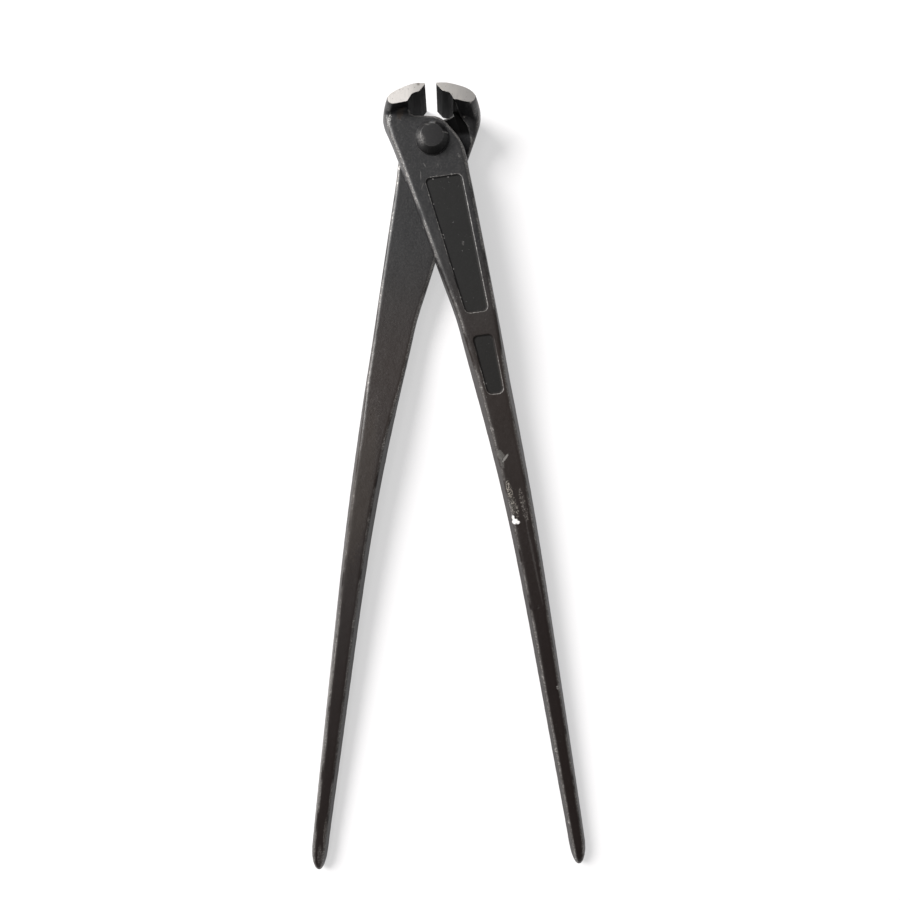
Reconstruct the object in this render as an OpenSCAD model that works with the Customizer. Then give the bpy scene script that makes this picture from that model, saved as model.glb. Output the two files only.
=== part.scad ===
// End cutting nippers: two forged levers, lap jointed on one rivet.
// Each lever is one forging: a jaw on one side of the joint, its handle on the other.
// The back lever is the front one turned half round about the Y axis.
// Origin: on the rivet's axis, in the plane where the two levers lap.
// +Y points to the cutting edges, +Z out of the front lever, +X to the right seen from the front.
// A lever is drawn in the closed pose, as the front lever: jaw on the left, handle on the right.

/* [Lever] */
// Length of a lever from the rivet's axis to the end of its handle
lever_len = 282; // [240:1:320]
// Distance from the rivet's axis to the cutting edge
jaw_reach = 18; // [16:0.5:21]
// Distance from the middle line to the cheek, the widest place of the head
head_reach = 17.4; // [16:0.1:19]
// Radius of the round shoulder that faces the mouth
hub_r = 8.6; // [8:0.1:9.5]
// Thickness of one lever where the two lap
plate_t = 7.5; // [6:0.1:9]
// Distance from the middle line to the outside of a handle's end, jaws closed
tip_reach = 22.4; // [18:0.1:30]
// Distance from the rivet's axis to the place where the closed handles part
crotch_len = 66; // [58:1:76]
// Width of a lever where the closed handles part
crotch_w = 16; // [13:0.5:19]
// Width of a handle near its end
tip_w = 6.2; // [5:0.1:10]
// Thickness of a handle just below the joint
shank_t = 9.5; // [8:0.1:12]
// Thickness of a handle near its end
tip_t = 6.6; // [5:0.1:9]
// Radius along the long edges of a lever
edge_r = 1.1; // [0.8:0.1:2]
// Slope of the forged sides at the joint, in degrees
forge_draft = 6; // [2:0.5:9]
// Slope of a handle's sides below the joint, in degrees
handle_draft = 19; // [6:0.5:20]

/* [Jaws] */
// Length of the cutting edge, which is the width of the jaws across the tool
jaw_w = 26; // [22:0.5:32]
// How far the jaw's back swells from its ground end faces to the parting plane
jaw_swell = 2; // [0.5:0.1:3]
// Slope of the jaw's underside over the other lever, in degrees
flank_draft = 9; // [3:0.5:12]
// Height of the flat on the cutting edge, where the two jaws meet
edge_land = 0.5; // [0.2:0.1:1]
// Width of the closed mouth behind the cutting edges
mouth_w = 14.2; // [11:0.1:16]
// Bevel round the ground end faces
face_bevel = 0.4; // [0.2:0.1:0.8]

/* [Joint] */
// Diameter of the rivet's shank
rivet_d = 9; // [7:0.1:10]
// Diameter of the rivet's front head at its base
head_d = 12.4; // [11.5:0.1:14]
// Diameter of the flat on top of the front head
head_flat_d = 8.2; // [6:0.1:10]
// Height of the front head
head_h = 3.6; // [2:0.1:5]
// Diameter of the closed head at the back
tail_d = 12; // [11:0.1:14]
// Height of the closed head at the back
tail_h = 2.2; // [1:0.1:3]
// Radius of the round recess in which the other lever turns
pocket_r = 14.6; // [13:0.1:15]
// Height that the rim along the cheek reaches over the other lever, where it runs into the jaw
rim_h = 9; // [6:0.1:10]

/* [Panels] */
// Depth of the two sunk panels on the front handle
panel_depth = 0.6; // [0.3:0.1:1]
// Distance from the rivet's axis to the first panel
panel_start = 14.4; // [13:0.1:20]
// Length of the first panel
long_panel_len = 51; // [40:1:54]
// Bar of full height between the two panels
panel_bar = 9; // [4:1:12]
// Length of the second panel
short_panel_len = 22; // [12:1:28]
// Margin between a panel and the outside of the handle
panel_margin = 3.8; // [3:0.1:5]
// Corner radius of the panels
panel_corner_r = 1.8; // [0.8:0.1:2.5]

/* [Pose and fits] */
// Angle between the levers at rest, counted from the closed jaws, in degrees
rest_opening = 13; // [0:0.5:40]
// Gap between the lapped faces of the two levers, and under the rivet's heads
lap_gap = 0.08; // [0.04:0.01:0.2]
// Radial clearance of the rivet in the front lever, which turns on it
turn_clearance = 0.05; // [0.02:0.01:0.1]
// Gap between the cutting edges when the jaws are closed
edge_gap = 0.1; // [0.05:0.01:0.2]

/* [Hidden] */
$fn = 96;

// How far a cutter runs past what it cuts
overrun = 2;
// Length over which the inner side turns from the joint into the handle
crotch_blend = 24;
// Distance below the crotch at which a handle starts to pass from its own side of the joint to the middle
shift_gap = 2;
// Distance over which it does so
shift_len = 52;
// How much sooner the front of the handle starts to fall than its back
face_lead = 7;
// Place where the sides begin to slope more, as a share of crotch_len
draft_start_share = 0.75;
// Length over which they come to the handle's slope
draft_len = 50;
// Slope of the cheeks where the jaw stands on them, in degrees
cheek_draft = 8.5;
// Share of jaw_reach over which the cheeks come to that slope
cheek_draft_share = 0.55;
// Deburred corner of the lapped faces round the hub
lap_corner_r = 0.3;
// Rounding of the cheek's edge on the lapped side
cheek_edge_r = 0.9;
// Length of the rounded end of a handle
dome_len = 8.5;
// Height of the rivet head's straight foot
foot_h = 0.5;
// Rounding of the rivet heads' upper edge
head_edge = 0.35;
// Drop of the jaw's underside to the front face of its own joint plate, in degrees
step_draft = 3;

// Colours as the photograph shows them
forging_colour = "#3e3c3b";
rivet_colour = "#353434";

// Outside of the handle: share of lever_len, share of tip_reach
outer_shares = [
    [0.045, 0.558], [0.09, 0.595], [0.16, 0.65], [0.23, 0.703], [0.3, 0.754], [0.37, 0.806], [0.44, 0.853],
    [0.51, 0.892], [0.585, 0.92], [0.655, 0.938], [0.8, 0.97], [0.94, 0.998], [1, 1.004]];
// Width of the handle below the crotch: share of the length left, share of the way from tip_w to crotch_w
width_shares = [
    [-0.09, 1.16], [0, 1], [0.09, 0.85], [0.185, 0.69], [0.275, 0.56], [0.365, 0.455], [0.46, 0.37],
    [0.55, 0.3], [0.64, 0.24], [0.82, 0.12], [0.92, 0.045], [1, 0]];
// Cheek of the head: share of jaw_reach up the tool, share of head_reach across it
cheek_shares = [
    [0.85, 0.83], [0.78, 0.93], [0.7, 0.985], [0.6, 1], [0.46, 0.985], [0.32, 0.949], [0.15, 0.9],
    [-0.04, 0.848], [-0.3, 0.782]];
// Shoulder from the hub to the outside of the handle: share of hub_r, share of the handle's outer reach
shoulder_shares = [
    [0.423, 0.625], [0.03, 0.808], [-0.256, 0.896], [-0.535, 0.955], [-0.79, 0.98],
    [-1.05, 0.994], [-1.5, 1]];
// Outline of the jaw at its ground end face over the own plate: shares of head_reach and jaw_reach
plate_face_shares = [
    [-0.195, 1.03], [-0.43, 0.998], [-0.64, 0.934], [-0.806, 0.845], [-0.83, 0.745], [-0.752, 0.678],
    [-0.596, 0.683], [-0.401, 0.711]];
// The same at the ground end face over the other lever
pocket_face_shares = [
    [-0.195, 1.03], [-0.43, 1.008], [-0.65, 0.958], [-0.816, 0.866], [-0.856, 0.768], [-0.782, 0.682],
    [-0.596, 0.683], [-0.401, 0.711]];
// Swell of the outline at the parting plane, in shares of jaw_swell
plate_swell_shares = [
    [0, 0.5], [-0.2, 1], [-0.85, 0.9], [-1, 0.1], [-1.3, -0.4], [-1.65, -1], [-0.6, 0], [0, 0]];
pocket_swell_shares = [
    [0, 0.5], [-0.2, 0.9], [-0.8, 0.7], [-0.9, -0.05], [-1.15, -0.5], [-1.4, -1], [-0.35, 0], [0, 0]];
// Roundness of the swell: 1 is a straight slope, 2 a full barrel
swell_power = 1.3;
// Sections of the jaw, as shares of the way from the parting plane to a ground end face
jaw_station_shares = [0.05, 0.36, 0.62, 0.83, 1];
// Height of the cheek's rim: share of jaw_reach up the tool, share of rim_h
rim_shares = [
    [0.85, 1], [0.72, 0.93], [0.62, 0.74], [0.5, 0.47], [0.36, 0.2], [0.22, 0.05], [0.12, 0],
    [0, 0], [-1, 0]];
// Reach of the bar past the middle line above its hub, inside the jaw: share of hub_r
bar_top_share = 0.14;
// Heights up the head at which a lever's section is drawn, as shares of hub_r
head_station_shares = [
    1.76, 1.66, 1.56, 1.45, 1.28, 1.1, 0.996, 0.985, 0.96, 0.92, 0.86, 0.79, 0.7, 0.61, 0.52, 0.423,
    0.33, 0.24, 0.14, 0.03, -0.11, -0.25, -0.39, -0.53, -0.66, -0.79, -0.92, -1.05, -1.27, -1.5];
// Sections below the head, as shares of the lever's length
handle_station_shares = [
    0.068, 0.09, 0.125, 0.16, 0.195, 0.215, 0.235, 0.25, 0.265, 0.28, 0.295, 0.31, 0.325, 0.34, 0.36, 0.38,
    0.4, 0.42, 0.45, 0.48, 0.52, 0.56, 0.6, 0.65, 0.7, 0.76, 0.82, 0.88, 0.94];
// Where the end of a handle lies across it: share of its width, from the inner side
tip_lean_share = 0.38;
// Sections of the rounded end, as shares of its length
dome_shares = [0, 0.35, 0.62, 0.82, 0.94, 0.985];
// Mouth behind the cutting edge: share of half the mouth's width, share of jaw_reach,
// share of half the mouth's width for the corner's radius
mouth_shares = [
    [-0.34, 0.853, 0.2], [-0.73, 0.83, 0.25], [-1.01, 0.7, 0.25], [-1, 0.57, 0.28], [-0.74, 0.51, 0.2]];
// How far its last two points lie further in at the lapped face than at the front:
// share of half the mouth's width, share of jaw_reach
mouth_lap_shares = [[0.07, 0.09], [0.09, 0.085]];
// Inner margin of a panel, as shares of panel_margin: at the crotch, and its gain from there to the rivet
inner_margin_shares = [1.06, 1];
// Floor of the mouth on the hub: share of half the mouth's width, share of hub_r
floor_shares = [[0.08, 0.96], [0.5, 0.96]];

// Value at v of a smooth curve through a table of [place, value] pairs in rising or falling order
function slope_at(t, i) =
    let (a = t[max(i - 1, 0)], b = t[min(i + 1, len(t) - 1)])
    (b[1] - a[1]) / (b[0] - a[0]);
function span_of(v, t, up, i = 0) =
    i >= len(t) - 2 || (up ? v <= t[i + 1][0] : v >= t[i + 1][0]) ? i : span_of(v, t, up, i + 1);
function smooth_at(v, t) =
    let (
        up = t[1][0] > t[0][0],
        i = span_of(v, t, up),
        h = t[i + 1][0] - t[i][0],
        u = min(1, max(0, (v - t[i][0]) / h)))
    t[i][1] * (1 + 2 * u) * pow(1 - u, 2) + slope_at(t, i) * h * u * pow(1 - u, 2)
        + t[i + 1][1] * (3 - 2 * u) * u * u - slope_at(t, i + 1) * h * u * u * (1 - u);

// Share that eases from 0 to 1
function ease(u) = let (v = min(1, max(0, u))) v * v * (3 - 2 * v);

// Points of a smooth line through the given ones, steps to a span
function flow(p, steps) = [
    for (i = [0 : len(p) - 2])
        let (
            a = p[max(i - 1, 0)],
            b = p[i],
            c = p[i + 1],
            d = p[min(i + 2, len(p) - 1)])
        for (k = [0 : steps - 1])
            let (u = k / steps)
            0.5 * (2 * b + (c - a) * u
                + (2 * a - 5 * b + 4 * c - d) * u * u
                + (3 * b - a - 3 * c + d) * pow(u, 3)),
    p[len(p) - 1]];

// An outline with round corners, from points [x, y, radius]
function unit(v) = v / norm(v);
function corner(a, b, c, r, steps) =
    let (
        p = unit(a - b),
        q = unit(c - b),
        half = acos(min(1, max(-1, p * q))) / 2,
        back = min(r / tan(half), 0.49 * norm(a - b), 0.49 * norm(c - b)),
        rr = back * tan(half),
        m = b + unit(p + q) * rr / sin(half),
        from = b + p * back - m,
        to = b + q * back - m,
        turn = 180 - 2 * half)
    [for (k = [0 : steps])
        let (u = k / steps)
        m + (from * sin((1 - u) * turn) + to * sin(u * turn)) / sin(turn)];
function rounded(p, steps) = [
    for (i = [0 : len(p) - 1])
        let (
            a = p[(i + len(p) - 1) % len(p)],
            b = p[i],
            c = p[(i + 1) % len(p)])
        each (b[2] > 0 ? corner([a[0], a[1]], [b[0], b[1]], [c[0], c[1]], b[2], steps) : [[b[0], b[1]]])];

// A closed solid through rings that have as many points each
module loft(rings) {
    n = len(rings[0]);
    last = len(rings) - 1;
    sides = [
        for (j = [0 : last - 1], i = [0 : n - 1])
            let (a = j * n + i, b = j * n + (i + 1) % n)
            each [[a, b + n, b], [a, a + n, b + n]]];
    ends = [[for (i = [0 : n - 1]) i], [for (i = [n - 1 : -1 : 0]) last * n + i]];
    polyhedron([for (ring = rings) each ring], concat(sides, ends));
}

// Outer and inner side of a lever at a distance s below the rivet
function outer_side(s) = tip_reach * smooth_at(s / lever_len, outer_shares);
function handle_w(s) =
    tip_w + (crotch_w - tip_w) * smooth_at((s - crotch_len) / (lever_len - crotch_len), width_shares);
cheek_end = cheek_shares[len(cheek_shares) - 1];
cheek_end_s = -jaw_reach * cheek_end[0];
crotch_x = outer_side(crotch_len) - crotch_w;
// The joint's straight inner side and the handle's curved one run into each other round the crotch
function joint_side(s) =
    let (u = (s - cheek_end_s) / (crotch_len - cheek_end_s))
    -head_reach * cheek_end[1] * (1 - u) + crotch_x * u;
function inner_side(s) =
    let (u = ease(0.5 + (s - crotch_len) / crotch_blend))
    s < cheek_end_s ? -head_reach * smooth_at(-s / jaw_reach, cheek_shares)
    : u == 0 ? joint_side(s)
    : joint_side(s) * (1 - u) + (outer_side(s) - handle_w(s)) * u;
shoulder_end_s = -shoulder_shares[len(shoulder_shares) - 1][0] * hub_r;
function hub_side(s) =
    -s > shoulder_shares[0][0] * hub_r ? max(bar_top_share * hub_r, sqrt(max(0, hub_r * hub_r - s * s)))
    : s < shoulder_end_s ? outer_side(shoulder_end_s) * smooth_at(-s / hub_r, shoulder_shares)
    : outer_side(s);

// Front and back of a lever at a distance s below the rivet
shift_start = crotch_len + shift_gap;
function shift_share(s, lead) = ease((s - shift_start + lead) / (shift_len + lead));
shift_end = shift_start + shift_len;
function full_t(s) =
    shank_t + (tip_t - shank_t) * max(0, (s - shift_end) / (lever_len - shift_end));
function front_z(s) =
    let (u = shift_share(s, face_lead)) (plate_t + lap_gap / 2) * (1 - u) + full_t(s) / 2 * u;
function back_z(s) =
    let (u = shift_share(s, 0)) lap_gap / 2 * (1 - u) - full_t(s) / 2 * u;
function rim_at(s) = rim_h * max(0, smooth_at(-s / jaw_reach, rim_shares));

// One section of a lever: flat front and back, sloping sides and round edges, widest in the parting plane,
// with a rim that stands over the other lever along the cheek
function arc(x, z, r, from) = [for (k = [0 : 3]) [x + r * cos(from + 30 * k), z + r * sin(from + 30 * k)]];
function section(xl, xr, zb, zf, r, rb, rl, rim, draft_l, draft_r) =
    let (
        t = tan(draft_r),
        tl = tan(draft_l),
        part_r = max(0, zb + 2 * rb),
        part_l = max(0, zb - rim + 2 * rl),
        in_rf = (zf - r - part_r) * t + r,
        in_lf = (zf - r - part_l) * tl + r,
        in_rb = (part_r - zb - rb) * t + rb,
        in_lb = (part_l - zb + rim - rl) * tl + rl,
        middle = (xl + xr) / 2)
    concat(
        [[xr, part_r]],
        arc(xr - in_rf, zf - r, r, 0),
        arc(xl + in_lf, zf - r, r, 90),
        [[xl, part_l]],
        arc(xl + in_lb, zb - rim + rl, rl, 180),
        [[middle, zb]],
        arc(xr - in_rb, zb + rb, rb, 270));

// Ring of a section at a distance s below the rivet; k draws it in towards the line where the handle ends
function ring_at(s, k = 1) =
    let (
        xl = inner_side(s),
        xr = hub_side(s),
        zb = back_z(s),
        zf = front_z(s),
        u = shift_share(s, 0),
        rb = lap_corner_r + (edge_r - lap_corner_r) * max(u, ease((s - hub_r) / hub_r)),
        rl = cheek_edge_r + (edge_r - cheek_edge_r) * u,
        draft_r = forge_draft
            + (handle_draft - forge_draft) * ease((s - draft_start_share * crotch_len) / draft_len),
        draft_l = draft_r + (cheek_draft - forge_draft) * ease(-s / (cheek_draft_share * jaw_reach)),
        cx = xl + (xr - xl) * tip_lean_share,
        cz = (zb + zf) / 2)
    [for (p = section(xl, xr, zb, zf, edge_r, rb, rl, rim_at(s), draft_l, draft_r))
        [cx + (p[0] - cx) * k, -s, cz + (p[1] - cz) * k]];

module bar() {
    body_end = lever_len - dome_len;
    rings = concat(
        [for (v = head_station_shares) ring_at(-v * hub_r)],
        [for (v = handle_station_shares) ring_at(v * lever_len)],
        [for (v = dome_shares) ring_at(body_end + v * dome_len, sqrt(1 - v * v))]);
    loft(rings);
}

// The jaw: a crescent, swollen towards the parting plane, that ends in two ground faces
jaw_half = jaw_w / 2;
function jaw_ring(face, swell, draft, share, inset, z) =
    let (
        u = 1 - pow(share, swell_power),
        drop = (1 - share) * jaw_half * tan(draft),
        last = len(face) - 1,
        floor_y = face[last - 1][1] * jaw_reach,
        centre = [face[3][0] * head_reach / 2, floor_y * 1.15],
        pts = [
            for (i = [0 : last])
                [
                    face[i][0] * head_reach + swell[i][0] * jaw_swell * u,
                    face[i][1] * jaw_reach + swell[i][1] * jaw_swell * u - (i > last - 3 ? drop : 0)]],
        line = flow(concat([[-edge_gap / 2, jaw_reach]], pts), 5))
    [
        for (p = concat(line, [[-edge_gap / 2, floor_y]]))
            let (q = p[0] > -edge_gap ? p : p - unit(p - centre) * inset)
            [q[0], q[1], z]];

module jaw() {
    side = jaw_half - face_bevel;
    loft(concat(
        [jaw_ring(pocket_face_shares, pocket_swell_shares, flank_draft, 1, face_bevel, -jaw_half)],
        [for (i = [len(jaw_station_shares) - 1 : -1 : 0])
            let (v = jaw_station_shares[i])
            jaw_ring(pocket_face_shares, pocket_swell_shares, flank_draft, v, 0, -v * side)],
        [for (v = jaw_station_shares)
            jaw_ring(plate_face_shares, plate_swell_shares, step_draft, v, 0, v * side)],
        [jaw_ring(plate_face_shares, plate_swell_shares, step_draft, 1, face_bevel, jaw_half)]));
}

// The mouth between the jaws, behind their cutting edges; its floor slopes from the lapped face to the front
function mouth_outline(lap) =
    let (
        half = mouth_w / 2,
        first = len(mouth_shares) - len(mouth_lap_shares))
    rounded(concat(
        [[-edge_gap / 2, jaw_reach - edge_land, 0]],
        [for (i = [0 : len(mouth_shares) - 1])
            let (m = mouth_shares[i], d = i < first ? [0, 0] : lap * mouth_lap_shares[i - first])
            [(m[0] + d[0]) * half, (m[1] + d[1]) * jaw_reach, m[2] * half]],
        [for (m = floor_shares) [m[0] * half, m[1] * hub_r, 0]],
        [[half / 2, jaw_reach + overrun, 0], [-edge_gap / 2, jaw_reach + overrun, 0]]), 6);
module mouth() {
    end_z = jaw_half + overrun;
    loft([
        for (level = [[-end_z, 1], [lap_gap / 2, 1], [plate_t, 0], [end_z, 0]])
            [for (p = mouth_outline(level[1])) [p[0], p[1], level[0]]]]);
}

// The round recess behind a jaw, in which the other lever turns
module pocket() {
    depth = jaw_half + overrun;
    translate([0, 0, lap_gap / 2 - depth])
        cylinder(r = pocket_r, h = depth);
}

// One sunk panel, from a distance s0 to s1 below the rivet; its inner margin narrows towards the crotch
function inner_margin(s) =
    panel_margin * (inner_margin_shares[0] + inner_margin_shares[1] * max(0, 1 - s / crotch_len));
module panel(s0, s1) {
    steps = 6;
    outline = rounded([
        [inner_side(s0) + inner_margin(s0), -s0, panel_corner_r],
        [inner_side(s1) + inner_margin(s1), -s1, panel_corner_r],
        [outer_side(s1) - panel_margin, -s1, panel_corner_r],
        [outer_side(s0) - panel_margin, -s0, panel_corner_r]], 6);
    intersection() {
        linear_extrude(plate_t + overrun)
            polygon(outline);
        loft([
            for (k = [0 : steps])
                let (s = s0 - overrun + (s1 - s0 + 2 * overrun) * k / steps, z = front_z(s) - panel_depth)
                [
                    [-head_reach, -s, z],
                    [head_reach + tip_reach, -s, z],
                    [head_reach + tip_reach, -s, z + plate_t],
                    [-head_reach, -s, z + plate_t]]]);
    }
}

// One lever with the bore that it needs
module lever(bore_r, panels) {
    long_end = panel_start + long_panel_len;
    short_start = long_end + panel_bar;
    difference() {
        union() {
            bar();
            jaw();
        }
        mouth();
        pocket();
        translate([0, 0, -jaw_half])
            cylinder(r = bore_r, h = jaw_w);
        if (panels) {
            panel(panel_start, long_end);
            panel(short_start, short_start + short_panel_len);
        }
    }
}

module front_lever() {
    color(forging_colour)
        rotate([0, 0, rest_opening / 2])
            lever(rivet_d / 2 + turn_clearance, true);
}

module back_lever() {
    color(forging_colour)
        rotate([0, 0, -rest_opening / 2])
            rotate([0, 180, 0])
                lever(rivet_d / 2, false);
}

// The rivet: a set head in front, a shank fast in the back lever and a closed head behind it
module rivet() {
    seat_front = plate_t + 1.5 * lap_gap;
    seat_back = -plate_t - lap_gap / 2;
    color(rivet_colour)
        rotate_extrude()
            polygon([
                [0, seat_back - tail_h],
                [tail_d / 2 - tail_h, seat_back - tail_h],
                [tail_d / 2 - head_edge, seat_back - foot_h],
                [tail_d / 2, seat_back],
                [rivet_d / 2, seat_back],
                [rivet_d / 2, seat_front],
                [head_d / 2, seat_front],
                [head_d / 2, seat_front + foot_h],
                [head_flat_d / 2 + head_edge, seat_front + head_h - head_edge],
                [head_flat_d / 2, seat_front + head_h],
                [0, seat_front + head_h]]);
}

front_lever();
back_lever();
rivet();
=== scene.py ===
"""End cutting nippers, lying on a pale bench: two forged levers that lap on one rivet."""

import math

import bpy
from mathutils import Matrix, Vector


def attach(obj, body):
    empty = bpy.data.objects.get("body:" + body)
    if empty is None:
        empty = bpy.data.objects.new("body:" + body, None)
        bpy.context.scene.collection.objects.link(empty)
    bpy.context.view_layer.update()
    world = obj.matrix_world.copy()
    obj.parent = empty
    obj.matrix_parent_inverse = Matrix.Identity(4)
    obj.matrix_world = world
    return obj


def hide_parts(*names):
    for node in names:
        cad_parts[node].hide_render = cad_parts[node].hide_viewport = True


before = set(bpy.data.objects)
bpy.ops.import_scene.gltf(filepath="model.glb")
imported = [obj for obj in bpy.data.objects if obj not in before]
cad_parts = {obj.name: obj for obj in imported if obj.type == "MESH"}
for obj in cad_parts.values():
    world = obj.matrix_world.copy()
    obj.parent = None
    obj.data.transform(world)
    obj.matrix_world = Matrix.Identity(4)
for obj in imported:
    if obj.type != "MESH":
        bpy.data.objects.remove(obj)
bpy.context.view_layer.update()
bpy.ops.object.select_all(action="DESELECT")

# Camera
# It looks straight down on the bench, which leans 1.9 degrees against the tool's own plane,
# because the tool lies on its jaw ends at one end and on its handle ends at the other.
MM = 0.001
bench_lean = math.radians(1.909)
camera_roll = math.radians(1.3)
camera_place = Vector((4.03, -105.38, 308.83)) * MM
focal_pixels = 805.9
picture_pixels = 900
camera_data = bpy.data.cameras.new("camera")
camera_data.sensor_width = 36
camera_data.lens = 36 * focal_pixels / picture_pixels
camera_data.clip_start = 0.01
camera = bpy.data.objects.new("camera", camera_data)
bpy.context.scene.collection.objects.link(camera)
up = Vector((0, math.sin(bench_lean), math.cos(bench_lean)))
along = Vector((0, math.cos(bench_lean), -math.sin(bench_lean)))
across = along.cross(up)
right = across * math.cos(camera_roll) - along * math.sin(camera_roll)
top = across * math.sin(camera_roll) + along * math.cos(camera_roll)
turn = Matrix((right, top, up)).transposed().to_4x4()
camera.matrix_world = Matrix.Translation(camera_place) @ turn
bpy.context.scene.camera = camera


# Front lever
# One steel forging, drop forged, blasted and blackened, then ground at the jaw ends,
# milled at the mouth and in the pocket, and bored for the rivet, on which it turns.
class Skin:
    """A value or a colour on the way through a material; arithmetic on values adds the nodes for it."""

    def __init__(self, tree, socket):
        self.tree = tree
        self.socket = socket

    def node(self, kind, settings=None, values=None, out=0):
        made = self.tree.nodes.new(kind)
        for name, value in (settings or {}).items():
            setattr(made, name, value)
        for name, value in (values or {}).items():
            if isinstance(value, Skin):
                self.tree.links.new(value.socket, made.inputs[name])
            else:
                made.inputs[name].default_value = value
        return Skin(self.tree, made.outputs[out])

    def math(self, operation, *terms):
        return self.node("ShaderNodeMath", {"operation": operation}, dict(enumerate(terms)))

    def __add__(self, other):
        return self.math("ADD", self, other)

    def __sub__(self, other):
        return self.math("SUBTRACT", self, other)

    def __rsub__(self, other):
        return self.math("SUBTRACT", other, self)

    def __mul__(self, other):
        return self.math("MULTIPLY", self, other)

    __radd__ = __add__
    __rmul__ = __mul__

    def other(self, name):
        """Another output of the node that this value comes from."""
        return Skin(self.tree, self.socket.node.outputs[name])

    def flat(self, tint):
        """One colour all over."""
        made = self.node("ShaderNodeRGB")
        made.socket.default_value = (*tint, 1)
        return made

    def wave(self):
        return self.math("SINE", self)

    def most(self, other):
        return self.math("MAXIMUM", self, other)

    def ramp(self, low, high, to_low=0.0, to_high=1.0):
        """The value eased from low to high onto to_low to to_high."""
        return self.node(
            "ShaderNodeMapRange",
            {"interpolation_type": "SMOOTHSTEP"},
            {"Value": self, "From Min": low, "From Max": high, "To Min": to_low, "To Max": to_high},
        )

    def mix(self, share, other):
        """This colour, with a share of another one over it."""
        made = self.tree.nodes.new("ShaderNodeMix")
        made.data_type = "RGBA"
        for place, value in ((0, share), (6, self), (7, other)):
            if isinstance(value, Skin):
                self.tree.links.new(value.socket, made.inputs[place])
            else:
                made.inputs[place].default_value = value
        return Skin(self.tree, made.outputs[2])

    def noise(self, scale, detail=2.0, rough=0.5, stretch=(1, 1, 1), shift=(0, 0, 0)):
        """Noise with scale cells to a metre over these coordinates."""
        placed = self.node("ShaderNodeMapping", {}, {"Vector": self, "Scale": stretch, "Location": shift})
        values = {"Vector": placed, "Scale": scale, "Detail": detail, "Roughness": rough}
        return self.node("ShaderNodeTexNoise", {}, values)


def start_material(name):
    made = bpy.data.materials.new(name)
    made.use_nodes = True
    tree = made.node_tree
    shader = tree.nodes["Principled BSDF"]
    return made, tree, shader, Skin(tree, tree.nodes.new("ShaderNodeTexCoord").outputs["Object"])


def shader_link(tree, value, shader, socket):
    tree.links.new(value.socket, shader.inputs[socket])


def patch(place, x, y, length, width, lean=0.0):
    """1 inside an oblong spot at x, y in mm and 0 outside it; lean turns the spot, in degrees."""
    near = place.node(
        "ShaderNodeMapping",
        {"vector_type": "TEXTURE"},
        {
            "Vector": place,
            "Location": (x * MM, y * MM, 0),
            "Rotation": (0, 0, math.radians(lean)),
            "Scale": (width / 2 * MM, length / 2 * MM, 1000),
        },
    )
    away = near.node("ShaderNodeVectorMath", {"operation": "LENGTH"}, {0: near}, out="Value")
    return away.ramp(1.15, 0.15)


def black_forging(name, marks):
    """The blasted and blackened skin of a forging, worn along its edges.

    Marks are scuffs on its front, some of them painted glints and painted sheen: x, y, length and width in
    mm, lean in degrees, share, speckle, colour.
    """
    made, tree, shader, place = start_material(name)
    pointed = Skin(tree, tree.nodes.new("ShaderNodeNewGeometry").outputs["Pointiness"])
    axes = place.node("ShaderNodeSeparateXYZ", {}, {"Vector": place})
    held = axes.other("Y").ramp(-30 * MM, -90 * MM)
    down = axes.other("Y").ramp(-45 * MM, -200 * MM)
    facing = place.node("ShaderNodeSeparateXYZ", {}, {"Vector": place.other("Normal")}).other("Z")
    front = axes.other("Z").ramp(-1 * MM, 2 * MM) * facing.ramp(0.15, 0.5)

    cloud = place.noise(85, 4, 0.6)
    grain = place.noise(1500, 3, 0.6)
    dimple = place.noise(480, 2, 0.5)
    fleck = place.noise(1900, 2, 0.6, shift=(3, 1, 2)).ramp(0.5, 0.62)
    fine = place.noise(2300, 2, 0.7, shift=(5, 1, 4)).ramp(0.52, 0.6)
    sunk = place.node("ShaderNodeAttribute", {"attribute_name": "sunk"}, out="Fac")

    colour = place.flat((0.0128, 0.0128, 0.0136))
    colour = colour.mix(cloud.ramp(0.42, 0.72) * 0.25, (0.024, 0.023, 0.023, 1))
    colour = colour.mix(grain.ramp(0.46, 0.64) * 0.3, (0.04, 0.038, 0.037, 1))
    colour = colour.mix(held * 0.65, (0.022, 0.0135, 0.0095, 1))
    colour = colour.mix(down * 0.88, (0.0055, 0.0022, 0.0016, 1))
    colour = colour.mix(sunk * 0.9, (0.003, 0.0029, 0.0024, 1))
    rubbed = place.noise(60, 3, 0.6, shift=(7, 7, 7)).ramp(0.38, 0.56)
    worn = pointed.ramp(0.509, 0.532) * (0.3 + fleck * 0.7) * rubbed
    colour = colour.mix(worn * 0.8, (0.46, 0.44, 0.42, 1))
    wear_and_marks = worn
    for x, y, length, width, lean, share, speckle, tint in marks:
        ragged = patch(place, x, y, length, width, lean) + place.noise(1500, 4, 0.75, shift=(x, y, 0)) * 2
        mark = ragged.ramp(1.42, 1.56) * front * share * (1 - speckle + fine * speckle)
        colour = colour.mix(mark, (*tint, 1))
        wear_and_marks = wear_and_marks.most(mark * 0.5)
    shader_link(tree, colour, shader, "Base Color")
    rough = 0.34 + grain.ramp(0.3, 0.7) * 0.06 + cloud * 0.06 + wear_and_marks * 0.1 + sunk * 0.4
    shader_link(tree, rough, shader, "Roughness")
    shader_link(tree, worn * 0.7, shader, "Metallic")
    height = grain * 0.4 + dimple * 0.5 + cloud * 1.5 - wear_and_marks * 0.3
    shader.inputs["Specular IOR Level"].default_value = 0.42
    bump = place.node("ShaderNodeBump", {}, {"Height": height, "Strength": 0.9, "Distance": 0.0001})
    shader_link(tree, bump, shader, "Normal")
    return made


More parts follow.
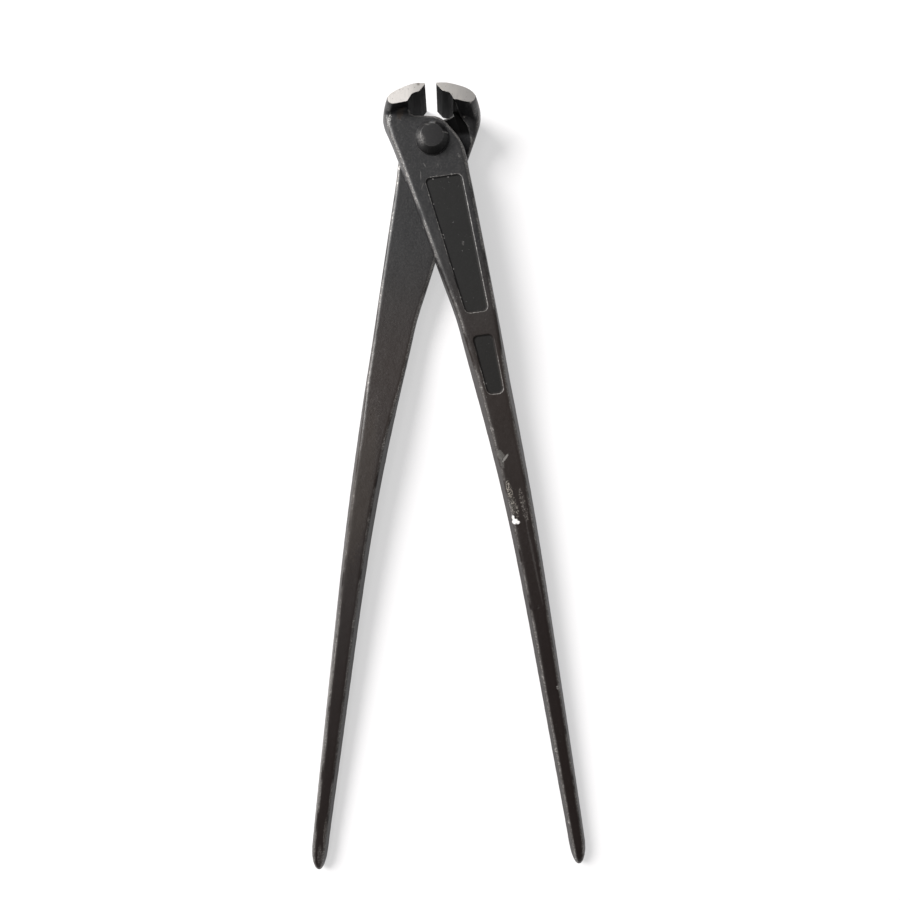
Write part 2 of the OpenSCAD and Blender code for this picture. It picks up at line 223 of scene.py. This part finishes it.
def milled_black(name, pocket_shadow):
    """A cutter's path, blackened after milling, with fine lines; where the second argument is 1, the pocket
    under the jaw is painted near black as its shadow.
    """
    made, tree, shader, place = start_material(name)
    lines = place.noise(1400, 3, 0.6, stretch=(1, 1, 0.06))
    around = place.node("ShaderNodeVectorMath", {"operation": "MULTIPLY"}, {0: place, 1: (1, 1, 0)})
    radius = around.node("ShaderNodeVectorMath", {"operation": "LENGTH"}, {0: around}, out="Value")
    rings = (radius * 9000 + place.noise(200, 2, 0.5) * 2).wave()
    axes = place.node("ShaderNodeSeparateXYZ", {}, {"Vector": place})
    # Painted shadow: from 2.6 to 4.8 mm along Y the pocket turns near black, for the shade under the jaw.
    painted_pocket_shadow = axes.other("Y").ramp(2.6 * MM, 4.8 * MM) * pocket_shadow
    colour = place.flat((0.017, 0.017, 0.0178)).mix(lines.ramp(0.4, 0.75) * 0.5, (0.034, 0.034, 0.035, 1))
    colour = colour.mix(painted_pocket_shadow, (0.0007, 0.0006, 0.0006, 1))
    shader_link(tree, colour, shader, "Base Color")
    shader_link(tree, 0.5 + lines.ramp(0.3, 0.7) * 0.12, shader, "Roughness")
    shader.inputs["Specular IOR Level"].default_value = 0.05
    height = lines + rings * 0.12
    bump = place.node("ShaderNodeBump", {}, {"Height": height, "Strength": 0.5, "Distance": 0.00003})
    shader_link(tree, bump, shader, "Normal")
    return made


def ground_steel():
    """Bare tool steel with the grain of a grinding belt, a little stained."""
    made, tree, shader, place = start_material("ground_steel")
    belt = place.noise(2600, 3, 0.65, stretch=(1, 0.07, 1))
    belt_fine = place.noise(6000, 2, 0.6, stretch=(1, 0.05, 1))
    stain = place.noise(330, 4, 0.65, shift=(2, 5, 1))
    spot = place.noise(1500, 2, 0.5, shift=(5, 2, 8)).ramp(0.66, 0.72)
    across = place.node("ShaderNodeSeparateXYZ", {}, {"Vector": place})
    pit = patch(place, -4.5, 17.6, 1.9, 1.5, 30)
    colour = place.flat((0.6, 0.575, 0.55))
    colour = colour.mix(across.ramp(-14 * MM, -20 * MM) * 0.8, (0.86, 0.82, 0.79, 1))
    colour = colour.mix(across.ramp(-9 * MM, -4 * MM), (0.42, 0.405, 0.385, 1))
    colour = colour.mix(across.ramp(0, 18 * MM), (0.27, 0.26, 0.25, 1))
    colour = colour.mix(belt.ramp(0.35, 0.7) * 0.25, (0.36, 0.345, 0.33, 1))
    colour = colour.mix(stain.ramp(0.5, 0.75) * 0.4, (0.3, 0.275, 0.25, 1))
    colour = colour.mix(spot.most(pit) * 0.8, (0.07, 0.055, 0.045, 1))
    shader_link(tree, colour, shader, "Base Color")
    shader_link(tree, 0.4 + belt * 0.12 + stain.ramp(0.45, 0.75) * 0.12, shader, "Roughness")
    shader_link(tree, 0.7 - spot.most(pit) * 0.65, shader, "Metallic")
    height = belt + belt_fine * 0.5
    bump = place.node("ShaderNodeBump", {}, {"Height": height, "Strength": 0.4, "Distance": 0.00002})
    shader_link(tree, bump, shader, "Normal")
    return made


def round_corners(points, steps=8):
    """The outline through points (x, y, radius), with an arc in place of each corner that has a radius."""
    outline = []
    for i, (px, py, radius) in enumerate(points):
        corner = Vector((px, py))
        before = (Vector(points[i - 1][:2]) - corner).normalized()
        after = (Vector(points[(i + 1) % len(points)][:2]) - corner).normalized()
        if not radius:
            outline.append(corner)
            continue
        half = before.angle(after) / 2
        centre = corner + (before + after).normalized() * radius / math.sin(half)
        first = corner + before * radius / math.tan(half) - centre
        last = corner + after * radius / math.tan(half) - centre
        whole = math.pi - 2 * half
        for k in range(steps + 1):
            share = k / steps
            arm = (first * math.sin((1 - share) * whole) + last * math.sin(share * whole)) / math.sin(whole)
            outline.append(centre + arm)
    return outline


def prism(name, *levels):
    """A block extruded through levels of height in mm and outline, all outlines with as many points."""
    height, outline = levels[0]
    mesh = bpy.data.meshes.new(name)
    corners = [(p.x * MM, p.y * MM, height * MM) for p in outline]
    mesh.from_pydata(corners, [], [tuple(range(len(outline)))])
    block = bpy.data.objects.new(name, mesh)
    bpy.context.scene.collection.objects.link(block)
    pick(block)
    choose_faces(mesh, lambda face: True)
    for next_height, next_outline in levels[1:]:
        bpy.ops.object.mode_set(mode="EDIT")
        rise = (next_height - height) * MM
        bpy.ops.mesh.extrude_region_move(TRANSFORM_OT_translate={"value": (0, 0, rise)})
        bpy.ops.object.mode_set(mode="OBJECT")
        for vertex in mesh.vertices:
            if vertex.select:
                nearest = min(range(len(outline)), key=lambda i: (outline[i] * MM - vertex.co.xy).length)
                vertex.co.xy = next_outline[nearest] * MM
        height, outline = next_height, next_outline
    choose_faces(mesh, lambda face: True)
    bpy.ops.mesh.normals_make_consistent(inside=False)
    bpy.ops.object.mode_set(mode="OBJECT")
    return block


def pick(*pieces):
    bpy.ops.object.select_all(action="DESELECT")
    for piece in pieces:
        piece.select_set(True)
    bpy.context.view_layer.objects.active = pieces[0]


def cut(piece, tool, finish):
    """The tool's block is taken out of the piece, and leaves its own finish there."""
    tool.data.materials.clear()
    tool.data.materials.append(finish)
    pick(piece)
    step = piece.modifiers.new("cut", "BOOLEAN")
    step.operation = "DIFFERENCE"
    step.solver = "MANIFOLD"
    step.material_mode = "TRANSFER"
    step.object = tool
    bpy.ops.object.modifier_apply(modifier="cut")
    bpy.data.objects.remove(tool)


def rod(radius, low, high, vertices):
    """A round block about the rivet's axis."""
    middle = (0, 0, (low + high) / 2 * MM)
    bpy.ops.mesh.primitive_cylinder_add(
        vertices=vertices, radius=radius * MM, depth=(high - low) * MM, location=middle)
    block = bpy.context.object
    block.data.transform(block.matrix_world)
    block.matrix_world = Matrix()
    return block


def modifier(piece, kind, **settings):
    pick(piece)
    step = piece.modifiers.new(kind, kind)
    for name, value in settings.items():
        setattr(step, name, value)
    bpy.ops.object.modifier_apply(modifier=kind)


def choose_faces(mesh, wanted):
    """Opens the active piece in edit mode with just those faces selected."""
    bpy.ops.object.mode_set(mode="EDIT")
    bpy.ops.mesh.select_mode(type="FACE")
    bpy.ops.mesh.select_all(action="DESELECT")
    bpy.ops.object.mode_set(mode="OBJECT")
    for face in mesh.polygons:
        face.select = wanted(face)
    bpy.ops.object.mode_set(mode="EDIT")


half_opening = math.radians(6.5)
smooth_angle = math.radians(38)
jaw_half = 13
plate = 7.5
lap_gap = 0.08
pocket_radius = 14.6
skin_grid = 0.42
grinding_allowance = 1.2


def raw_forging():
    """The forging as it leaves the die, with the tool closed: the plain back lever, turned to the front."""
    opening = Matrix.Rotation(half_opening, 4, "Z")
    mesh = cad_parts["back_lever"].data.copy()
    mesh.transform(Matrix.Rotation(-math.pi, 4, "Y") @ opening)
    mesh.materials.clear()
    forging = bpy.data.objects.new("raw_forging", mesh)
    bpy.context.scene.collection.objects.link(forging)
    pick(forging)
    bpy.ops.object.mode_set(mode="EDIT")
    bpy.ops.mesh.select_all(action="SELECT")
    bpy.ops.mesh.remove_doubles(threshold=1e-6)
    bpy.ops.object.mode_set(mode="OBJECT")
    for side in (1, -1):
        end_height = (jaw_half - 0.1) * MM
        choose_faces(mesh, lambda face: face.normal.z * side > 0.99 and face.center.z * side > end_height)
        rise = grinding_allowance * side * MM
        bpy.ops.mesh.extrude_region_move(TRANSFORM_OT_translate={"value": (0, 0, rise)})
        bpy.ops.object.mode_set(mode="OBJECT")

    # The mouth behind the cutting edge and the bore are filled while the skin is softened
    fill = round_corners([
        (-4, 17.0, 0), (-6.6, 16.0, 0), (-8.2, 13.4, 0), (-7.6, 12.7, 0),
        (2.5, 12.7, 0), (2.5, 17.4, 0), (-0.05, 17.9, 0)])
    end = jaw_half + grinding_allowance
    pick(forging, prism("mouth_fill", (-end, fill), (end, fill)), rod(5, 0.1, plate - 0.02, 64))
    bpy.ops.object.join()

    # The skin's grid lies askew to the handle, so that no long steps run along its creases
    askew = Matrix.Rotation(math.radians(40), 4, "Z")
    forging.data.transform(askew)
    modifier(forging, "REMESH", mode="VOXEL", voxel_size=skin_grid * MM)
    forging.data.transform(askew.inverted())
    soften = forging.vertex_groups.new(name="soften")
    for vertex in forging.data.vertices:
        soften.add([vertex.index], 1.0 if vertex.co.y > 4 * MM else 0.3, "REPLACE")
    modifier(forging, "SMOOTH", factor=0.5, iterations=12, vertex_group="soften")
    forging.vertex_groups.clear()
    return forging


def sink_panel(lever, corners, depth, wall):
    """Presses a sunk panel into the front of the lever; the wall slopes over its own width."""
    radius = 1.8
    lines = []
    for i, corner in enumerate(corners):
        start = Vector(corner)
        run = (Vector(corners[(i + 1) % 4]) - start).normalized()
        lines.append((start, Vector((run.y, -run.x))))

    def outside(point):
        """Distance outside the panel's outline, negative inside."""
        reach = sorted(((point - start) @ normal for start, normal in lines), reverse=True)
        if reach[0] > -radius and reach[1] > -radius:
            return math.hypot(reach[0] + radius, reach[1] + radius) - radius
        return reach[0]

    mesh = lever.data
    pick(lever)
    low = [min(c[i] for c in corners) - 2 for i in (0, 1)]
    high = [max(c[i] for c in corners) + 2 for i in (0, 1)]

    def near(vertex):
        x, y, z = vertex.co / MM
        return z > 3 and low[0] < x < high[0] and low[1] < y < high[1]

    spread = {v.index: outside(v.co.xy / MM) for v in mesh.vertices if near(v)}
    choose_faces(mesh, lambda face: all(abs(spread.get(corner, 9)) < 1.0 for corner in face.vertices))
    bpy.ops.mesh.subdivide(number_cuts=2)
    bpy.ops.object.mode_set(mode="OBJECT")
    sunk = mesh.attributes.get("sunk") or mesh.attributes.new("sunk", "FLOAT", "POINT")
    for vertex in mesh.vertices:
        if near(vertex):
            share = min(1, max(0, 0.5 - outside(vertex.co.xy / MM) / wall))
            share = share * share * (3 - 2 * share)
            vertex.co.z -= depth * MM * share
            sunk.data[vertex.index].value = share


def machine(lever, bore):
    """Mouth, pocket and bore are milled and the jaw's ends ground, each with the finish it leaves; the
    pocket also gets a painted shadow under the jaw.
    """
    near_edge = [(-0.05, 17.5, 0), (-2.414, 15.354, 1.42), (-5.183, 14.94, 1.775), (-7.171, 12.6, 1.775)]
    floor_front = [(-7.1, 10.26, 1.988), (-5.254, 9.18, 1.42)]
    floor_lap = [(-6.603, 11.88, 1.988), (-4.615, 10.71, 1.42)]
    open_side = [(0.568, 8.256, 0), (6, 8.256, 0), (6, 21, 0), (-0.05, 21, 0)]
    at_lap = round_corners(near_edge + floor_lap + open_side)
    at_front = round_corners(near_edge + floor_front + open_side)
    levels = [(-jaw_half - 3, at_lap), (lap_gap / 2, at_lap), (plate, at_front), (jaw_half + 3, at_front)]
    cut(lever, prism("mouth_cutter", *levels), milled)
    cut(lever, rod(pocket_radius, -jaw_half - 4, lap_gap, 256), shadowed_pocket)
    cut(lever, rod(bore, -jaw_half - 4, jaw_half + 4, 128), milled)
    belt = [Vector((x, y)) for x, y in ((-30, -30), (30, -30), (30, 30), (-30, 30))]
    cut(lever, prism("belt_front", (jaw_half, belt), (jaw_half + 5, belt)), ground)
    cut(lever, prism("belt_back", (-jaw_half - 5, belt), (-jaw_half, belt)), ground)


milled = milled_black("milled_black", 0)
# The pocket's milled black carries a painted shadow under the jaw.
shadowed_pocket = milled_black("shadowed_pocket", 1)
ground = ground_steel()
front = raw_forging()
back = front.copy()
back.data = front.data.copy()
bpy.context.scene.collection.objects.link(back)
front.name = "front_lever_forging"
scuffs = [
    (23.0, -117.8, 6.5, 3.6, 24, 0.8, 0.4, (0.12, 0.115, 0.107)),
    (23.7, -121.0, 6.5, 2.0, 12, 0.7, 0.5, (0.11, 0.105, 0.098)),
    (24.9, -118.9, 6.0, 1.3, -36, 0.9, 0.35, (0.25, 0.24, 0.225)),
    (26.6, -133.5, 19, 3.4, 14, 0.7, 0.2, (0.008, 0.006, 0.005)),
    (26.2, -131.5, 13, 3.0, 14, 0.95, 0.95, (0.3, 0.27, 0.235)),
    (28.0, -138.0, 10, 3.8, 14, 0.95, 0.95, (0.26, 0.24, 0.21)),
    (31.4, -137.0, 18, 3.0, 12, 0.8, 0.97, (0.18, 0.165, 0.15)),
    (27.4, -141.8, 3.0, 1.5, 14, 1.0, 0, (0.7, 0.69, 0.67)),
    (28.0, -143.2, 3.4, 2.8, -10, 1.0, 0, (0.76, 0.75, 0.73)),
    (29.1, -143.6, 2.0, 2.0, 40, 1.0, 0, (0.76, 0.75, 0.73)),
    (31.2, -121.0, 44, 1.6, 12.5, 0.4, 0.5, (0.09, 0.084, 0.08)),
    (34.9, -158.0, 50, 1.2, 10.5, 0.35, 0.5, (0.09, 0.084, 0.08)),
    (-3.0, -9.8, 2.6, 0.8, 30, 0.5, 0.3, (0.12, 0.115, 0.11)),
    (-4.5, -13.6, 5.0, 0.6, 0, 0.55, 0.3, (0.12, 0.115, 0.11)),
    (-3.9, -17.4, 3.6, 0.6, -20, 0.45, 0.3, (0.11, 0.105, 0.1)),
    (1.9, -9.9, 1.6, 1.0, 10, 0.4, 0.6, (0.12, 0.115, 0.11)),
    (10.6, -38.7, 2.5, 1.2, 10, 0.5, 0.6, (0.14, 0.135, 0.13)),
    (9.8, -6.5, 3.0, 1.2, 30, 0.5, 0.6, (0.12, 0.115, 0.11)),
    (-16.2, 5.0, 13, 2.2, -16, 1.0, 0.85, (0.4, 0.39, 0.375)),
    (-11.2, 11.4, 4.0, 13, 80, 0.7, 0.3, (0.035, 0.022, 0.012)),
]
front.data.materials.append(black_forging("front_lever_skin", scuffs))
sink_panel(front, [(-4.61, -14.4), (3.77, -65.4), (11.98, -65.4), (8.81, -14.4)], depth=0.6, wall=0.8)
sink_panel(front, [(5.01, -74.4), (7.94, -96.4), (13.79, -96.4), (12.5, -74.4)], depth=0.6, wall=0.8)
machine(front, bore=4.55)
front.data.transform(Matrix.Rotation(half_opening, 4, "Z"))
pick(front)
bpy.ops.object.shade_smooth_by_angle(angle=smooth_angle)
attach(front, "front_half")
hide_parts("front_lever")


# Back lever
# The same steel forging out of the same die, turned half round about the tool's length:
# its jaw is on the right and its handle on the left. It has no sunk panels, and the rivet is fast in it.
back.name = "back_lever_forging"
# Rubs on the back lever's front, with painted glints and painted sheen among them.
rubs_glints_and_sheen = [
    # A light band down the left handle's outer edge: wear specks over an even painted sheen.
    (-44.0, -200, 200, 1.5, -7.2, 0.8, 0.4, (0.32, 0.3, 0.275)),
    (-44.2, -204, 24, 2.2, -7.2, 0.8, 0.9, (0.3, 0.285, 0.26)),
    (-36.5, -150, 40, 2.4, -9, 0.5, 0.8, (0.12, 0.11, 0.1)),
    # A brown dust film over the handle's middle, which also lightens it as a painted sheen.
    (-30.0, -128, 90, 13, -10, 0.5, 0.45, (0.034, 0.025, 0.018)),
    # Painted glints, speckled, on the right jaw's underside.
    (11.9, 11.1, 6.5, 4.5, 43, 1.0, 0.8, (0.3, 0.28, 0.255)),
    (-49.9, -271, 12, 2.4, -6, 0.5, 0.85, (0.16, 0.15, 0.14)),
    (-47.5, -262, 18, 1.6, -6, 0.5, 0.8, (0.14, 0.13, 0.12)),
]
back.data.materials.append(black_forging("back_lever_skin", rubs_glints_and_sheen))
machine(back, bore=4.5)
back.data.transform(Matrix.Rotation(-half_opening, 4, "Z") @ Matrix.Rotation(math.pi, 4, "Y"))
pick(back)
bpy.ops.object.shade_smooth_by_angle(angle=smooth_angle)
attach(back, "back_half")
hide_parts("back_lever")


# Rivet
# A turned steel rivet, set cold through both levers and blackened with them:
# a tall truncated cone in front and a low closed head behind.
def spin_up(name, outline, steps=160):
    """A turned piece from half its outline, spun about the Z axis."""
    mesh = bpy.data.meshes.new(name)
    edges = [(i, i + 1) for i in range(len(outline) - 1)]
    mesh.from_pydata([(p.x * MM, 0, p.y * MM) for p in outline], edges, [])
    piece = bpy.data.objects.new(name, mesh)
    bpy.context.scene.collection.objects.link(piece)
    pick(piece)
    bpy.ops.object.mode_set(mode="EDIT")
    bpy.ops.mesh.select_all(action="SELECT")
    bpy.ops.mesh.spin(steps=steps, angle=math.tau, center=(0, 0, 0), axis=(0, 0, 1))
    bpy.ops.mesh.select_all(action="SELECT")
    bpy.ops.mesh.remove_doubles(threshold=1e-6)
    bpy.ops.mesh.normals_make_consistent(inside=False)
    bpy.ops.object.mode_set(mode="OBJECT")
    bpy.ops.object.shade_smooth_by_angle(angle=smooth_angle)
    return piece


shank = 4.5
foot = 6.2
flat = 4.1
seat_back = -7.54
seat_front = 7.62
closed_head = [(0, -9.78, 0), (2.9, -9.78, 0), (4.3, -9.55, 1.2), (5.65, -8.1, 0.8), (6, seat_back, 0)]
cone = [(foot, seat_front, 0), (foot, 8.12, 0.25), (flat, 11.22, 0.25), (0, 11.22, 0)]
rivet_outline = round_corners(closed_head + [(shank, seat_back, 0), (shank, seat_front, 0)] + cone, 5)
rivet = spin_up("rivet_turned", rivet_outline)


def rivet_material():
    """Turned and blackened steel, rubbed bright in places on the cone's shoulder, with painted glints there
    and painted shade on the cone's side away from the softbox.
    """
    made, tree, shader, place = start_material("rivet_steel")
    pointed = Skin(tree, tree.nodes.new("ShaderNodeNewGeometry").outputs["Pointiness"])
    grain = place.noise(1700, 3, 0.6)
    around = place.node("ShaderNodeVectorMath", {"operation": "MULTIPLY"}, {0: place, 1: (1, 1, 0)})
    radius = around.node("ShaderNodeVectorMath", {"operation": "LENGTH"}, {0: around}, out="Value")
    turning = (radius * 16000 + grain * 3).wave()
    worn = pointed.ramp(0.508, 0.54) * place.noise(420, 3, 0.6).ramp(0.3, 0.46, 0.2)
    # Two spots on the cone's shoulder: rubbed-bright wear, with painted glints over it.
    rubbed_glint_spots = patch(place, -4.0, -1.0, 6.6, 3.0, 22).most(patch(place, -1.8, 3.9, 3.0, 1.0, 66))
    rubbed = rubbed_glint_spots * grain.ramp(0.36, 0.6)
    axes = place.node("ShaderNodeSeparateXYZ", {}, {"Vector": place})
    # Painted shade: the cone's side away from the softbox, to the lower right, is darkened and made
    # rougher.
    away = (axes * 0.6 - axes.other("Y") * 0.8).ramp(-1 * MM, 3.5 * MM)
    painted_shade = away * radius.ramp(flat * MM, 4.5 * MM)
    colour = place.flat((0.017, 0.0165, 0.017)).mix(grain.ramp(0.5, 0.8) * 0.35, (0.05, 0.048, 0.047, 1))
    colour = colour.mix(painted_shade * 0.9, (0.0012, 0.001, 0.001, 1))
    colour = colour.mix((worn * 0.6).most(rubbed * 0.6) * 0.8, (0.36, 0.35, 0.34, 1))
    shader_link(tree, colour, shader, "Base Color")
    shader_link(tree, 0.27 + grain * 0.12 + painted_shade * 0.25, shader, "Roughness")
    shader.inputs["Specular IOR Level"].default_value = 0.36
    shader_link(tree, worn.most(rubbed) * 0.6, shader, "Metallic")
    height = grain + turning * 0.08
    bump = place.node("ShaderNodeBump", {}, {"Height": height, "Strength": 0.5, "Distance": 0.00003})
    shader_link(tree, bump, shader, "Normal")
    return made


rivet.data.materials.append(rivet_material())
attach(rivet, "back_half")
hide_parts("rivet")


# Bench and light
# A white bench top under the tool, a wide softbox at the upper left,
# a weak ceiling lamp and the dim room around.
bpy.ops.mesh.primitive_plane_add(size=6)
bench = bpy.context.object
bench.name = "bench"
bench_rise = 0.03435
glow_share = 0.55
bench_turn = Matrix.Rotation(-math.atan(bench_rise), 4, "X")
bench.matrix_world = Matrix.Translation((0, 10.4 * MM, -13.02 * MM)) @ bench_turn
made = bpy.data.materials.new("bench_white")
made.use_nodes = True
tree = made.node_tree
tree.nodes.clear()
white = tree.nodes.new("ShaderNodeBsdfDiffuse")
white.inputs["Color"].default_value = (0.93, 0.915, 0.92, 1)
glow = tree.nodes.new("ShaderNodeEmission")
glow.inputs["Color"].default_value = (1, 0.998, 1, 1)
path = tree.nodes.new("ShaderNodeLightPath")
seen = Skin(tree, path.outputs["Is Camera Ray"]).most(Skin(tree, path.outputs["Is Glossy Ray"]))
seen = seen.most(Skin(tree, path.outputs["Is Transmission Ray"])) * glow_share
layers = {0: seen, 1: Skin(tree, white.outputs[0]), 2: Skin(tree, glow.outputs[0])}
both = seen.node("ShaderNodeMixShader", {}, layers)
end = tree.nodes.new("ShaderNodeOutputMaterial")
tree.links.new(both.socket, end.inputs["Surface"])
bench.data.materials.append(made)


def soft_lamp(name, size, energy, place, colour):
    """A round studio lamp that looks at the middle of the tool."""
    lamp_data = bpy.data.lights.new(name, "AREA")
    lamp_data.shape = "DISK"
    lamp_data.size = size
    lamp_data.energy = energy
    lamp_data.color = colour
    lamp = bpy.data.objects.new(name, lamp_data)
    bpy.context.scene.collection.objects.link(lamp)
    lamp.location = place
    lamp.rotation_euler = (Vector((0, -0.1, 0)) - lamp.location).to_track_quat("-Z", "Y").to_euler()


soft_lamp("softbox_left", 1.7, 147, (-1.8, 1.07, 1.92), (1, 0.99, 0.985))
soft_lamp("ceiling_lamp", 0.5, 2.9, (-0.5, -0.25, 1.8), (1, 0.985, 0.97))

world = bpy.data.worlds.new("room")
bpy.context.scene.world = world
world.use_nodes = True
world.node_tree.nodes["Background"].inputs["Color"].default_value = (0.97, 0.98, 1, 1)
world.node_tree.nodes["Background"].inputs["Strength"].default_value = 0.18

bpy.context.scene.view_settings.view_transform = "Standard"
